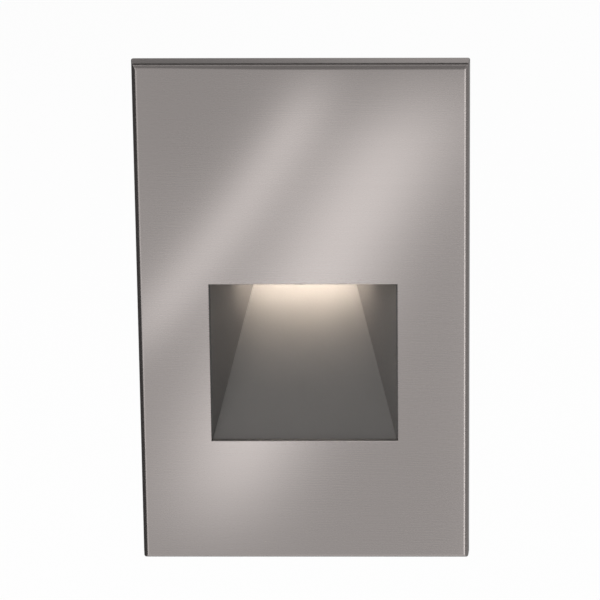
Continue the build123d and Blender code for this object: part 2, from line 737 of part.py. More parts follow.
with BuildPart() as heat_spreader:
    with BuildSketch(Plane.YZ):
        with BuildLine():
            Polyline((spreader_front_y, pad_top), (web_rear_y, pad_top),
                     (web_rear_y, can_inner_half_height - spreader_thickness),
                     (spreader_rear_y, can_inner_half_height - spreader_thickness),
                     (spreader_rear_y, can_inner_half_height), (web_front_y, can_inner_half_height),
                     (web_front_y, spreader_base_top), (spreader_front_y, spreader_base_top), close=True)
        make_face()
    extrude(amount=spreader_length / 2, both=True)
    with BuildSketch(level(pad_top)):
        with Locations(*led_screw_places):
            Circle(led_screw_diameter / 2 + thread_gap)
    extrude(amount=spreader_thickness, mode=Mode.SUBTRACT)
    with BuildSketch(level(can_inner_half_height)):
        with Locations((-spreader_screw_offset, spreader_screw_y), (spreader_screw_offset, spreader_screw_y)):
            Circle(spreader_screw_diameter / 2 + thread_gap)
    extrude(amount=-spreader_thickness, mode=Mode.SUBTRACT)
heat_spreader.part.label = "heat_spreader"
export_step(heat_spreader.part, "parts/heat_spreader.step")

with BuildPart() as heat_spreader_screws:
    with Locations((-spreader_screw_offset, spreader_screw_y, can_half_height),
                   (spreader_screw_offset, spreader_screw_y, can_half_height)):
        Cylinder(spreader_screw_head / 2, spreader_screw_head_height,
                 align=(Align.CENTER, Align.CENTER, Align.MIN))
        Cylinder(spreader_screw_diameter / 2, spreader_screw_length,
                 align=(Align.CENTER, Align.CENTER, Align.MAX))
    fillet(heat_spreader_screws.edges().group_by(Axis.Z)[-1], radius=2 * small_fillet)
    # cross recess
    with BuildSketch(level(can_half_height + spreader_screw_head_height)):
        with Locations((-spreader_screw_offset, spreader_screw_y), (spreader_screw_offset, spreader_screw_y)):
            Rectangle(spreader_screw_head / 2, 2 * small_fillet)
            Rectangle(2 * small_fillet, spreader_screw_head / 2)
    extrude(amount=-spreader_screw_head_height / 2, mode=Mode.SUBTRACT)
heat_spreader_screws.part.label = "heat_spreader_screws"
export_step(heat_spreader_screws.part, "parts/heat_spreader_screws.step")

# ---------------------------------------------------------------- driver board and what is on it

with BuildPart() as driver_board:
    with BuildSketch(wall_plane(driver_back_y)):
        with Locations((0, driver_middle)):
            RectangleRounded(driver_width, driver_height, board_corner)
        with Locations(*post_places):
            Circle(driver_screw_diameter / 2 + clearance_gap, mode=Mode.SUBTRACT)
    extrude(amount=driver_thickness)
driver_board.part.label = "driver_board"
export_step(driver_board.part, "parts/driver_board.step")

with BuildPart() as driver_board_screws:
    with BuildSketch(wall_plane(driver_front_y)):
        with Locations(*post_places):
            Circle(driver_screw_head / 2)
    extrude(amount=driver_screw_head_height)
    fillet(driver_board_screws.edges().group_by(Axis.Y)[0], radius=small_fillet)
    with BuildSketch(wall_plane(driver_front_y)):
        with Locations(*post_places):
            Circle(driver_screw_diameter / 2)
    extrude(amount=-driver_screw_length)
    # cross recess
    with BuildSketch(wall_plane(driver_front_y - driver_screw_head_height)):
        with Locations(*post_places):
            Rectangle(driver_screw_head / 2, small_fillet)
            Rectangle(small_fillet, driver_screw_head / 2)
    extrude(amount=-driver_screw_head_height / 2, mode=Mode.SUBTRACT)
driver_board_screws.part.label = "driver_board_screws"
export_step(driver_board_screws.part, "parts/driver_board_screws.step")

with BuildPart() as driver_insulator:
    with BuildSketch(wall_plane(can_floor_y)):
        with Locations((0, driver_middle)):
            Rectangle(driver_width - 2 * insulator_margin, driver_height - 2 * insulator_margin)
        with Locations(*post_places):
            Circle(post_diameter / 2 + insulator_hole_gap, mode=Mode.SUBTRACT)
    extrude(amount=insulator_thickness)
driver_insulator.part.label = "driver_insulator"
export_step(driver_insulator.part, "parts/driver_insulator.step")

with BuildPart() as transformer_core:
    with BuildSketch(wall_plane(driver_front_y)):
        with Locations((transformer_x, transformer_z)):
            Rectangle(core_width, core_depth)
    extrude(amount=core_height)
    fillet(transformer_core.edges().filter_by(Axis.Y), radius=small_fillet)
    # two windows, either side of the centre leg
    with BuildSketch(level(transformer_z - core_depth / 2)):
        with Locations((transformer_x, driver_front_y - core_height / 2)):
            with GridLocations(core_centre_leg + core_window, 0, 2, 1):
                Rectangle(core_window, core_window_height)
    extrude(amount=core_depth, mode=Mode.SUBTRACT)
transformer_core.part.label = "transformer_core"
export_step(transformer_core.part, "parts/transformer_core.step")

with BuildPart() as transformer_winding:
    winding_height = core_window_height - 2 * winding_gap
    with BuildSketch(wall_plane(driver_front_y - core_height / 2 + winding_height / 2)):
        with Locations((transformer_x, transformer_z)):
            winding_reach = 2 * (core_window - winding_gap)
            RectangleRounded(core_centre_leg + winding_reach, core_depth + winding_reach, winding_corner)
            Rectangle(core_centre_leg + 2 * winding_gap, core_depth + 2 * winding_gap, mode=Mode.SUBTRACT)
    extrude(amount=winding_height)
transformer_winding.part.label = "transformer_winding"
export_step(transformer_winding.part, "parts/transformer_winding.step")

with BuildPart() as bulk_capacitor:
    with BuildSketch(wall_plane(driver_front_y)):
        with Locations((bulk_capacitor_x, bulk_capacitor_z)):
            Circle(bulk_capacitor_diameter / 2)
    extrude(amount=bulk_capacitor_height)
    fillet(bulk_capacitor.edges().group_by(Axis.Y)[0], radius=2 * small_fillet)
    # rolled groove above the rubber bung
    with BuildSketch(wall_plane(driver_front_y - bulk_capacitor_groove)):
        with Locations((bulk_capacitor_x, bulk_capacitor_z)):
            Circle(bulk_capacitor_diameter / 2)
            Circle(bulk_capacitor_diameter / 2 - small_fillet, mode=Mode.SUBTRACT)
    extrude(amount=2 * small_fillet, mode=Mode.SUBTRACT)
bulk_capacitor.part.label = "bulk_capacitor"
export_step(bulk_capacitor.part, "parts/bulk_capacitor.step")

with BuildPart() as film_capacitor:
    with BuildSketch(wall_plane(driver_front_y)):
        with Locations((film_capacitor_x, film_capacitor_z)):
            Rectangle(film_capacitor_length, film_capacitor_width)
    extrude(amount=film_capacitor_height)
    fillet(film_capacitor.edges().filter_by(Axis.Y) + film_capacitor.edges().group_by(Axis.Y)[0],
           radius=2 * small_fillet)
film_capacitor.part.label = "film_capacitor"
export_step(film_capacitor.part, "parts/film_capacitor.step")

with BuildPart() as bridge_rectifier:
    with BuildSketch(wall_plane(driver_front_y)):
        with Locations((rectifier_x, rectifier_z)):
            Rectangle(rectifier_width, rectifier_depth)
    extrude(amount=rectifier_height)
    chamfer(bridge_rectifier.edges().group_by(Axis.Y)[0], length=small_fillet)
    # four flat legs on the board
    with BuildSketch(wall_plane(driver_front_y)):
        with Locations((rectifier_x, rectifier_z)):
            with GridLocations(rectifier_width / 2, rectifier_depth + rectifier_leg, 2, 2):
                Rectangle(rectifier_leg, rectifier_leg)
    extrude(amount=2 * small_fillet)
bridge_rectifier.part.label = "bridge_rectifier"
export_step(bridge_rectifier.part, "parts/bridge_rectifier.step")

with BuildPart() as driver_chip:
    with BuildSketch(wall_plane(driver_front_y)):
        with Locations((chip_x, chip_z)):
            Rectangle(chip_length, chip_width)
    extrude(amount=chip_height)
    chamfer(driver_chip.edges().group_by(Axis.Y)[0], length=small_fillet)
    # gull-wing legs along both long sides
    with BuildSketch(wall_plane(driver_front_y)):
        with Locations((chip_x, chip_z)):
            with GridLocations(chip_leg_pitch, chip_width + chip_leg, chip_legs_a_side, 2):
                Rectangle(chip_leg / 2, chip_leg)
    extrude(amount=chip_height / 3)
driver_chip.part.label = "driver_chip"
export_step(driver_chip.part, "parts/driver_chip.step")

with BuildPart() as varistor:
    with BuildSketch(Plane.YZ.offset(varistor_x)):
        with Locations((driver_front_y - varistor_lift - varistor_diameter / 2, varistor_z)):
            Circle(varistor_diameter / 2)
    extrude(amount=varistor_thickness / 2, both=True)
    fillet(varistor.edges().filter_by(GeomType.CIRCLE), radius=varistor_thickness / 3)
    with BuildSketch(wall_plane(driver_front_y)):
        with Locations((varistor_x, varistor_z)):
            with GridLocations(0, varistor_leg_pitch, 1, 2):
                Circle(component_leg / 2)
    extrude(amount=varistor_lift + varistor_diameter / 2)
varistor.part.label = "varistor"
export_step(varistor.part, "parts/varistor.step")

with BuildPart() as fusible_resistor:
    resistor_y = driver_front_y - resistor_lift - resistor_diameter / 2
    with BuildSketch(Plane.YZ.offset(resistor_x)):
        with Locations((resistor_y, resistor_z)):
            Circle(resistor_diameter / 2)
    extrude(amount=resistor_length / 2, both=True)
    fillet(fusible_resistor.edges().filter_by(GeomType.CIRCLE), radius=2 * small_fillet)
    # axial leads, bent down to the board
    with BuildLine():
        leg_reach = resistor_length / 2 + resistor_bend
        FilletPolyline((resistor_x - leg_reach, driver_front_y, resistor_z),
                       (resistor_x - leg_reach, resistor_y, resistor_z),
                       (resistor_x + leg_reach, resistor_y, resistor_z),
                       (resistor_x + leg_reach, driver_front_y, resistor_z), radius=component_leg)
    with BuildSketch(Plane(origin=(resistor_x - leg_reach, driver_front_y, resistor_z), z_dir=(0, -1, 0))):
        Circle(component_leg / 2)
    sweep()
fusible_resistor.part.label = "fusible_resistor"
export_step(fusible_resistor.part, "parts/fusible_resistor.step")

with BuildPart() as driver_connector:
    with BuildSketch(wall_plane(driver_front_y)):
        with Locations((0, driver_connector_top)):
            Rectangle(driver_connector_width, driver_connector_height, align=(Align.CENTER, Align.MAX))
    extrude(amount=driver_connector_depth)
    fillet(driver_connector.edges().filter_by(Axis.Y), radius=small_fillet)
driver_connector.part.label = "driver_connector"
export_step(driver_connector.part, "parts/driver_connector.step")

# ---------------------------------------------------------------- leads from the driver to the light engine


def lead_route(x):
    """The points a lead's straight runs would meet at, from the light engine's plug to the driver's."""
    return [Vector(x, led_board_rear_y, led_lead_z), Vector(x, lead_turn_y, led_lead_z),
            Vector(x, driver_lead_y, led_lead_z - lead_drop), Vector(x, driver_lead_y, driver_connector_top)]


def lead_radii(points):
    """The largest arc that both runs at each corner have room for."""
    radii = []
    for before, corner, after in zip(points, points[1:], points[2:]):
        shorter_run = min((corner - before).length, (after - corner).length)
        turn = (corner - before).get_angle(after - corner)
        radii.append(lead_bend_share * shorter_run / tan(radians(turn / 2)))
    return radii


print("lead radii, mm:", [round(radius, 2) for radius in lead_radii(lead_route(0))])

for side, name in ((-1, "led_lead_positive"), (1, "led_lead_negative")):
    route = lead_route(side * lead_pitch / 2)
    with BuildPart() as led_lead:
        with BuildLine():
            FilletPolyline(*route, radius=lead_radii(route))
        with BuildSketch(Plane(origin=route[0], z_dir=(0, 1, 0))):
            Circle(lead_diameter / 2)
        sweep()
    led_lead.part.label = name
    export_step(led_lead.part, f"parts/{name}.step")

# ---------------------------------------------------------------- fittings in the can's rear wall

with BuildPart() as lead_bushing:
    with BuildSketch(wall_plane(can_rear_y)):
        with Locations((bushing_x, rear_fitting_z)):
            Circle(bushing_bore / 2 + bushing_wall + bushing_flange)
    extrude(amount=-bushing_flange_thickness)
    fillet(lead_bushing.edges().group_by(Axis.Y)[-1], radius=2 * small_fillet)
    with BuildSketch(wall_plane(can_rear_y)):
        with Locations((bushing_x, rear_fitting_z)):
            Circle(bushing_bore / 2 + bushing_wall)
    extrude(amount=can_wall + bushing_barb_length)
    # barb that snaps behind the wall
    with BuildSketch(wall_plane(can_floor_y)):
        with Locations((bushing_x, rear_fitting_z)):
            Circle(bushing_bore / 2 + bushing_wall + bushing_barb)
    extrude(amount=bushing_barb_length / 2, taper=bushing_barb_draft)
    with BuildSketch(wall_plane(can_rear_y + bushing_flange_thickness)):
        with Locations((bushing_x, rear_fitting_z)):
            Circle(bushing_bore / 2)
    extrude(amount=bushing_flange_thickness + can_wall + bushing_barb_length, mode=Mode.SUBTRACT)
lead_bushing.part.label = "lead_bushing"
export_step(lead_bushing.part, "parts/lead_bushing.step")

with BuildPart() as earth_washer:
    with BuildSketch(wall_plane(can_rear_y)):
        with Locations((earth_x, rear_fitting_z)):
            Circle(earth_washer_diameter / 2)
            Circle(earth_screw_diameter / 2 + clearance_gap, mode=Mode.SUBTRACT)
    extrude(amount=-earth_washer_thickness)
earth_washer.part.label = "earth_washer"
export_step(earth_washer.part, "parts/earth_washer.step")

with BuildPart() as earth_screw:
    earth_seat_y = can_rear_y + earth_washer_thickness
    with BuildSketch(wall_plane(earth_seat_y)):
        with Locations((earth_x, rear_fitting_z)):
            RegularPolygon(earth_head_flats / 2, 6, major_radius=False)
    extrude(amount=-earth_head_height)
    with BuildSketch(wall_plane(earth_seat_y)):
        with Locations((earth_x, rear_fitting_z)):
            Circle(earth_screw_diameter / 2)
    extrude(amount=earth_screw_length)
    with BuildSketch(wall_plane(earth_seat_y + earth_head_height)):
        with Locations((earth_x, rear_fitting_z)):
            Rectangle(earth_head_flats, earth_slot_width)
    extrude(amount=earth_slot_depth, mode=Mode.SUBTRACT)
earth_screw.part.label = "earth_screw"
export_step(earth_screw.part, "parts/earth_screw.step")
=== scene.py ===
import math

import bpy
from mathutils import Matrix, Vector


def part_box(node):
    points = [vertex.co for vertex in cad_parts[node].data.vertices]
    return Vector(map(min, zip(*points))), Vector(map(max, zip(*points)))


bl_info = {
    "name": "Recessed step light",
    "version": (1, 0, 0),
    "blender": (4, 5, 0),
    "location": "3D View > Sidebar > Step Light",
    "description": "Finishes and a studio for a recessed step light",
    "category": "Object",
}

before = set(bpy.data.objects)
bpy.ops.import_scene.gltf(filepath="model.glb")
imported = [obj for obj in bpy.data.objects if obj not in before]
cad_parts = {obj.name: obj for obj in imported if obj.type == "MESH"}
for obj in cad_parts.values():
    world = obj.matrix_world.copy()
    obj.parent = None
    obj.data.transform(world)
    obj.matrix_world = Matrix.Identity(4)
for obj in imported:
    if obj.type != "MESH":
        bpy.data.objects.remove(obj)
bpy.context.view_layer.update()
PLATE_LOW, PLATE_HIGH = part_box("faceplate")
LENS_LOW, LENS_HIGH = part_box("lens")
EMITTERS_LOW, EMITTERS_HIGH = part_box("led_emitters")

MM = 0.001

# Walls of the faceplate's opening, taken a little outside it
OPENING_HALF_WIDTH = 21.57 * MM
OPENING_HALF_HEIGHT = 20.27 * MM
OPENING_MIDDLE = -11.95 * MM

# The row of emitters above the lens
EMITTER_COUNT = 4
EMITTER_WIDTH = 3 * MM
EMITTER_PITCH = (EMITTERS_HIGH.x - EMITTERS_LOW.x - EMITTER_WIDTH) / (EMITTER_COUNT - 1)
EMITTERS_MIDDLE = (EMITTERS_LOW + EMITTERS_HIGH) / 2

# The strip of light just below the lens, which stands for the lens's throw on the scoop
BEAM_SIZE = (27 * MM, 3 * MM)
BEAM_AHEAD_OF_EMITTERS = 4.8 * MM
BEAM_BELOW_LENS = 3.3 * MM
BEAM_AIM = (0, 0.58, -0.77)
BEAM_SPREAD = math.radians(86)
BEAM_COLOUR = (1.0, 0.87, 0.74)

# Ways that a reflector can face. The object's front is towards -Y
TO_FRONT, TO_REAR = (0, -1, 0), (0, 1, 0)
TO_LEFT, TO_RIGHT = (-1, 0, 0), (1, 0, 0)
UP, DOWN = (0, 0, 1), (0, 0, -1)

TINNED_COLOUR = (0.75, 0.75, 0.74)
NO_LIGHT = (0.0, 0.0, 0.0)
SENSOR_WIDTH_MM = 36.0


# ------------------------------------------------------------ materials


class Varying:
    """A number, colour or vector that varies over a surface.

    Arithmetic on numbers adds Math nodes.
    """

    def __init__(self, nodes, socket):
        self.nodes = nodes
        self.socket = socket

    def maths(self, operation, *operands):
        settings = {"operation": operation}
        return self.nodes.node("ShaderNodeMath", settings, dict(enumerate(operands)))

    def __add__(self, other):
        return self.maths("ADD", self, other)

    __radd__ = __add__

    def __sub__(self, other):
        return self.maths("SUBTRACT", self, other)

    def __rsub__(self, other):
        return self.maths("SUBTRACT", other, self)

    def __mul__(self, other):
        return self.maths("MULTIPLY", self, other)

    __rmul__ = __mul__

    def __truediv__(self, other):
        return self.maths("DIVIDE", self, other)

    def __pow__(self, other):
        return self.maths("POWER", self, other)

    def __abs__(self):
        return self.maths("ABSOLUTE", self)

    def __gt__(self, other):
        return self.maths("GREATER_THAN", self, other)

    def __lt__(self, other):
        return self.maths("LESS_THAN", self, other)

    def exp(self):
        return self.maths("EXPONENT", self)

    def root(self):
        return self.maths("SQRT", self)

    def wrapped(self, low, high):
        return self.maths("WRAP", self, high, low)

    def clamped(self):
        return self.nodes.node("ShaderNodeClamp", {}, {"Value": self})

    def step(self, start, end):
        """0 before start, 1 after end, smooth between them."""
        settings = {"interpolation_type": "SMOOTHSTEP"}
        inputs = {"Value": self, "From Min": start, "From Max": end}
        return self.nodes.node("ShaderNodeMapRange", settings, inputs)

    def band(self, rise, fall):
        """1 between a smooth rise and a smooth fall, each a start and an end, and 0 outside."""
        return self.step(*rise) * (1 - self.step(*fall))


class Nodes:
    """The nodes of a material or of the world."""

    def __init__(self, owner):
        owner.use_nodes = True
        self.tree = owner.node_tree
        self.tree.nodes.clear()

    def node(self, kind, settings, inputs, output=None):
        """Adds a node: its settings, then its sockets' values or links. Returns one output."""
        node = self.tree.nodes.new(kind)
        for name, value in settings.items():
            setattr(node, name, value)
        for name, value in inputs.items():
            socket = node.inputs[name]
            if isinstance(value, Varying):
                self.tree.links.new(value.socket, socket)
            elif socket.type == "RGBA":
                socket.default_value = (*value, 1)
            else:
                socket.default_value = value
        shown = [socket for socket in node.outputs if socket.enabled]
        if not shown:
            return None
        return Varying(self, node.outputs[output] if output else shown[0])

    def seen(self):
        """1 for rays that show a background: straight, mirrored or through glass. 0 for light."""
        kinds = ("Is Camera Ray", "Is Glossy Ray", "Is Transmission Ray")
        camera, glossy, through = (
            self.node("ShaderNodeLightPath", {}, {}, output=kind) for kind in kinds
        )
        return (camera + glossy + through).clamped()


class Finish(Nodes):
    """One procedural material, built from nodes on the piece's own Object coordinates."""

    def __init__(self, name):
        self.material = bpy.data.materials.new(name)
        super().__init__(self.material)
        self.place = self.node("ShaderNodeTexCoord", {}, {}, output="Object")
        split = {"Vector": self.place}
        self.x = self.node("ShaderNodeSeparateXYZ", {}, split, output="X")
        self.y = self.node("ShaderNodeSeparateXYZ", {}, split, output="Y")
        self.z = self.node("ShaderNodeSeparateXYZ", {}, split, output="Z")

    def stretched(self, x, y, z):
        """The place on the surface with each axis scaled, for a pattern in cells per metre."""
        settings = {"operation": "MULTIPLY"}
        return self.node("ShaderNodeVectorMath", settings, {0: self.place, 1: (x, y, z)})

    def noise(self, x, y=None, z=None, detail=3.0, roughness=0.55):
        """Noise of that many cells per metre along each axis, or x along all three."""
        where = self.stretched(x, x if y is None else y, x if z is None else z)
        inputs = {"Vector": where, "Scale": 1.0, "Detail": detail, "Roughness": roughness}
        return self.node("ShaderNodeTexNoise", {}, inputs)

    def cells(self, per_metre, feature="F1", output="Distance", randomness=1.0):
        """Scattered cells, that many per metre: the distance to a middle, or a cell's colour."""
        settings = {"feature": feature}
        inputs = {"Vector": self.place, "Scale": per_metre, "Randomness": randomness}
        return self.node("ShaderNodeTexVoronoi", settings, inputs, output=output)

    def blend(self, one, other, share):
        """One colour where share is 0, the other where it is 1."""
        settings = {"data_type": "RGBA"}
        inputs = {0: share, 6: one, 7: other}
        return self.node("ShaderNodeMix", settings, inputs, output=2)

    def mottled(self, colour, darkest, lightest, share):
        """The colour times darkest where share is 0, and times lightest where it is 1."""
        return self.blend(toned(colour, darkest), toned(colour, lightest), share)

    def bump(self, height, depth):
        """A normal from a height between 0 and 1 and the depth, in metres, that 1 stands for."""
        inputs = {"Height": height, "Distance": depth, "Strength": 1.0}
        return self.node("ShaderNodeBump", {}, inputs)

    def shaded(self, **sockets):
        """Ends the material in a Principled shader.

        Underscores stand for the spaces in its sockets' names.
        """
        inputs = {name.replace("_", " "): value for name, value in sockets.items()}
        shader = self.node("ShaderNodeBsdfPrincipled", {}, inputs)
        self.node("ShaderNodeOutputMaterial", {}, {"Surface": shader})
        return self.material


def toned(colour, factor):
    """A colour made lighter or darker, with no channel past 1."""
    return tuple(min(1.0, channel * factor) for channel in colour)


def put_on(material, *nodes):
    """Gives CAD nodes a material in place of their plain one."""
    for name in nodes:
        for material_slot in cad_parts[name].material_slots:
            material_slot.material = material


def brushed_nickel(look):
    """Satin nickel brushed sideways, with the scoop's coating on the walls of the opening, darkened
    there as painted shade.
    """
    f = Finish("brushed_nickel")
    wall = (abs(f.x) < OPENING_HALF_WIDTH) * (abs(f.z - OPENING_MIDDLE) < OPENING_HALF_HEIGHT)
    strands = f.noise(90, 5200, 5200, detail=4.0, roughness=0.7)
    streaks = f.noise(14, 900, 900, detail=2.0)
    clouds = f.noise(28, detail=2.0)
    share = strands * 0.55 + streaks * 0.3 + clouds * 0.15
    nickel = f.mottled(look.plate_colour, 0.95, 1.05, share)
    return f.shaded(
        # The opening's walls take the scoop's colour at 0.6 of its tone: the coating is real, the
        # extra darkness is painted shade
        Base_Color=f.blend(nickel, toned(look.scoop_colour, 0.6), wall),
        Metallic=1 - wall * 0.8,
        Roughness=look.plate_roughness - 0.03 + strands * 0.05 + clouds * 0.02 + wall * 0.3,
        Normal=f.bump(strands * 0.7 + streaks * 0.3, look.grain_depth),
        Anisotropic=look.grain_spread,
        Anisotropic_Rotation=0.25,
    )


def scoop_coating(look):
    """Dark grey satin coating on a die-cast scoop."""
    f = Finish("scoop_coating")
    peel = f.noise(1500, detail=2.0)
    drift = f.noise(60, detail=2.0)
    return f.shaded(
        Base_Color=f.mottled(look.scoop_colour, 0.92, 1.08, drift),
        Metallic=0.1,
        Roughness=0.42 + peel * 0.08,
        Specular_IOR_Level=0.2,
        Normal=f.bump(peel, 0.02 * MM),
    )


def cast_metal(name, colour, roughness, grain=1100, depth=0.05 * MM):
    """Metal as it comes out of a mould: fine pits and a slow drift of tone."""
    f = Finish(name)
    pits = f.cells(grain, feature="SMOOTH_F1")
    sand = f.noise(grain * 1.7, detail=4.0)
    drift = f.noise(45, detail=3.0)
    return f.shaded(
        Base_Color=f.mottled(colour, 0.82, 1.12, drift * 0.6 + sand * 0.4),
        Metallic=1.0,
        Roughness=roughness - 0.06 + sand * 0.1 + drift * 0.06,
        Normal=f.bump(pits * 0.6 + sand * 0.4, depth),
    )


def drawn_metal(name, colour, roughness, per_metre):
    """Bright rolled or turned metal; per_metre is the rate of its lines along each axis."""
    f = Finish(name)
    lines = f.noise(*per_metre, detail=4.0, roughness=0.7)
    drift = f.noise(120, detail=2.0)
    return f.shaded(
        Base_Color=f.mottled(colour, 0.88, 1.08, lines * 0.5 + drift * 0.5),
        Metallic=1.0,
        Roughness=roughness - 0.05 + lines * 0.1,
        Normal=f.bump(lines, 0.008 * MM),
    )


def zinc_steel():
    """Galvanised strip: crystals of slightly different tone and gloss."""
    f = Finish("zinc_steel")
    crystal_colour = {"Color": f.cells(260, output="Color")}
    crystal = f.node("ShaderNodeSeparateColor", {}, crystal_colour, output="Red")
    fern = f.noise(700, 2600, 900, detail=3.0)
    dull, bright = (0.47, 0.48, 0.5), (0.61, 0.62, 0.63)
    return f.shaded(
        Base_Color=f.blend(dull, bright, crystal * 0.7 + fern * 0.3),
        Metallic=1.0,
        Roughness=0.3 + crystal * 0.14 + fern * 0.06,
        Normal=f.bump(fern, 0.01 * MM),
    )


def plated_steel(name, colour, roughness):
    """Screw finish: thin plating over steel, a little uneven."""
    f = Finish(name)
    drift = f.noise(900, detail=3.0)
    return f.shaded(
        Base_Color=f.mottled(colour, 0.8, 1.2, drift),
        Metallic=0.9,
        Roughness=roughness - 0.05 + drift * 0.12,
        Normal=f.bump(drift, 0.01 * MM),
    )


def moulded(name, colour, roughness):
    """Moulded plastic or rubber: fine texture, slight drift of colour and gloss."""
    f = Finish(name)
    spark = f.noise(1800, detail=3.0)
    drift = f.noise(180, detail=2.0)
    return f.shaded(
        Base_Color=f.mottled(colour, 0.88, 1.15, drift * 0.6 + spark * 0.4),
        Roughness=roughness - 0.04 + spark * 0.08,
        Normal=f.bump(spark, 0.015 * MM),
    )


def gasket_foam():
    """Closed-cell foam: small round cells on a black skin."""
    f = Finish("gasket_foam")
    bubbles = f.cells(1900, feature="SMOOTH_F1")
    drift = f.noise(140, detail=3.0)
    skin, worn = (0.016, 0.016, 0.017), (0.045, 0.045, 0.046)
    return f.shaded(
        Base_Color=f.blend(skin, worn, bubbles * 0.7 + drift * 0.3),
        Roughness=0.8 + drift * 0.1,
        Normal=f.bump(bubbles, 0.12 * MM),
    )


def circuit_board(name, mask_colour, track_colour, across, up):
    """Solder mask over copper, whose tracks stand up a little and show lighter.

    across and up name the board's axes.
    """
    f = Finish(name)
    column = getattr(f, across)
    row = getattr(f, up)
    lanes_per_metre = 900
    rungs_per_metre = 420
    wander = f.noise(120, detail=0.0)
    lane = (column * lanes_per_metre + wander * 3.0).wrapped(0.0, 1.0)
    rung = (row * rungs_per_metre - wander * 2.0).wrapped(0.0, 1.0)
    laned = f.cells(95) > 0.42
    tracks = (abs(lane - 0.5) < 0.2) * laned + (abs(rung - 0.5) < 0.1) * (1 - laned)
    via = f.cells(260, randomness=0.9) < 0.12
    copper = (tracks + via).clamped()
    weave = f.noise(2600, detail=2.0)
    masked = f.blend(mask_colour, track_colour, copper)
    via_colour = (0.55, 0.5, 0.4)
    return f.shaded(
        Base_Color=f.blend(masked, via_colour, via * 0.7),
        Roughness=0.3 + weave * 0.1,
        Normal=f.bump(copper * 0.8 + weave * 0.2, 0.03 * MM),
    )


def from_emitter(f):
    """How far a point is from the nearest emitter's middle, along the row and across it."""
    from_row_start = f.x - EMITTERS_MIDDLE.x + EMITTER_PITCH * EMITTER_COUNT / 2
    along = from_row_start.wrapped(0.0, EMITTER_PITCH) - EMITTER_PITCH / 2
    across = f.y - EMITTERS_MIDDLE.y
    return along, across


def lens_glass(look):
    """Frosted glass, lit most at its rear edge, with a brighter patch under each emitter."""
    f = Finish("frosted_glass")
    along, across = from_emitter(f)
    patch_radius = 3 * MM
    patch = (0 - (along * along + across * across) / (patch_radius * patch_radius)).exp()
    rear = ((f.y - LENS_LOW.y) / (LENS_HIGH.y - LENS_LOW.y)).clamped() ** look.beam_lean
    frost = f.noise(2400, detail=3.0)
    near_white = (1.0, 0.97, 0.95)
    light = f.blend(look.glow_colour, near_white, (rear * 0.8 + patch * 0.2).clamped())
    return f.shaded(
        Base_Color=(0.9, 0.9, 0.88),
        Roughness=0.45 + frost * 0.1,
        Transmission_Weight=0.3,
        Emission_Color=f.blend(NO_LIGHT, light, (rear * 0.9 + patch * 0.1).clamped()),
        Emission_Strength=look.glow_strength,
        Normal=f.bump(frost, 0.02 * MM),
    )


def emitter_package():
    """White package round a disc of yellow phosphor, one for each emitter."""
    f = Finish("led_phosphor")
    along, across = from_emitter(f)
    disc_radius = 1.1 * MM
    soft_edge = 0.05 * MM
    from_middle = (along * along + across * across).root()
    disc = 1 - from_middle.step(disc_radius - soft_edge, disc_radius + soft_edge)
    grain = f.noise(5000, detail=2.0)
    phosphor = f.blend((0.9, 0.62, 0.1), (0.95, 0.75, 0.2), grain)
    package_colour = (0.85, 0.85, 0.82)
    light_colour = (1.0, 0.8, 0.55)
    return f.shaded(
        Base_Color=f.blend(package_colour, phosphor, disc),
        Roughness=0.3 + grain * 0.1,
        Emission_Color=f.blend(NO_LIGHT, light_colour, disc),
        Emission_Strength=4.0,
        Normal=f.bump(disc * 0.8 + grain * 0.2, 0.05 * MM),
    )


def winding_tape():
    """Yellow tape over the coil, its laps showing as lines round it."""
    f = Finish("winding_tape")
    laps_per_metre = 520
    lap = (f.y * laps_per_metre).wrapped(0.0, 1.0)
    edge = (abs(lap - 0.5) > 0.44).clamped()
    wire = f.noise(200, 4200, 200, detail=2.0)
    drift = f.noise(220, detail=2.0)
    tape = f.blend((0.62, 0.42, 0.04), (0.82, 0.62, 0.1), drift * 0.6 + wire * 0.4)
    edge_colour = (0.4, 0.26, 0.03)
    return f.shaded(
        Base_Color=f.blend(tape, edge_colour, edge),
        Roughness=0.28 + wire * 0.1,
        Normal=f.bump(lap * 0.7 + wire * 0.3, 0.05 * MM),
    )


def capacitor_sleeve():
    """Dark shrunk sleeve with a pale stripe, round a bare aluminium top with its vent cross."""
    f = Finish("capacitor_sleeve")
    low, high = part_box("bulk_capacitor")
    sleeve_lap = 1.0 * MM
    top_depth = 0.15 * MM
    groove_half_width = 0.15 * MM
    groove_reach = 3 * MM
    stripe_edge = -3.9 * MM
    centre = (low + high) / 2
    x = f.x - centre.x
    z = f.z - centre.z
    radius = (x * x + z * z).root()
    top = (f.y < low.y + top_depth) * (radius < (high.x - low.x) / 2 - sleeve_lap)
    cross = ((abs(x) < groove_half_width) + (abs(z) < groove_half_width)).clamped()
    vent = cross * (radius < groove_reach)
    stripe = (x < stripe_edge) * (1 - top)
    crinkle = f.noise(500, 160, 500, detail=3.0)
    stripe_colour = (0.45, 0.5, 0.58)
    top_colour = (0.72, 0.72, 0.73)
    groove_colour = (0.3, 0.3, 0.31)
    sleeve = f.blend((0.014, 0.022, 0.07), (0.03, 0.05, 0.13), crinkle)
    topped = f.blend(f.blend(sleeve, stripe_colour, stripe), top_colour, top)
    return f.shaded(
        Base_Color=f.blend(topped, groove_colour, vent * top),
        Metallic=top,
        Roughness=0.22 + crinkle * 0.1 + top * 0.12,
        Normal=f.bump(crinkle * 0.5 + (1 - vent * top) * 0.5, 0.08 * MM),
    )


def dipped(f, colour, legs):
    """Ends a finish as an epoxy coating, with tinned legs where legs is 1."""
    skin = f.noise(900, detail=2.0)
    return f.shaded(
        Base_Color=f.blend(f.mottled(colour, 1.0, 1.2, skin), TINNED_COLOUR, legs),
        Metallic=legs,
        Roughness=0.32 + skin * 0.12,
        Normal=f.bump(skin, 0.04 * MM),
    )


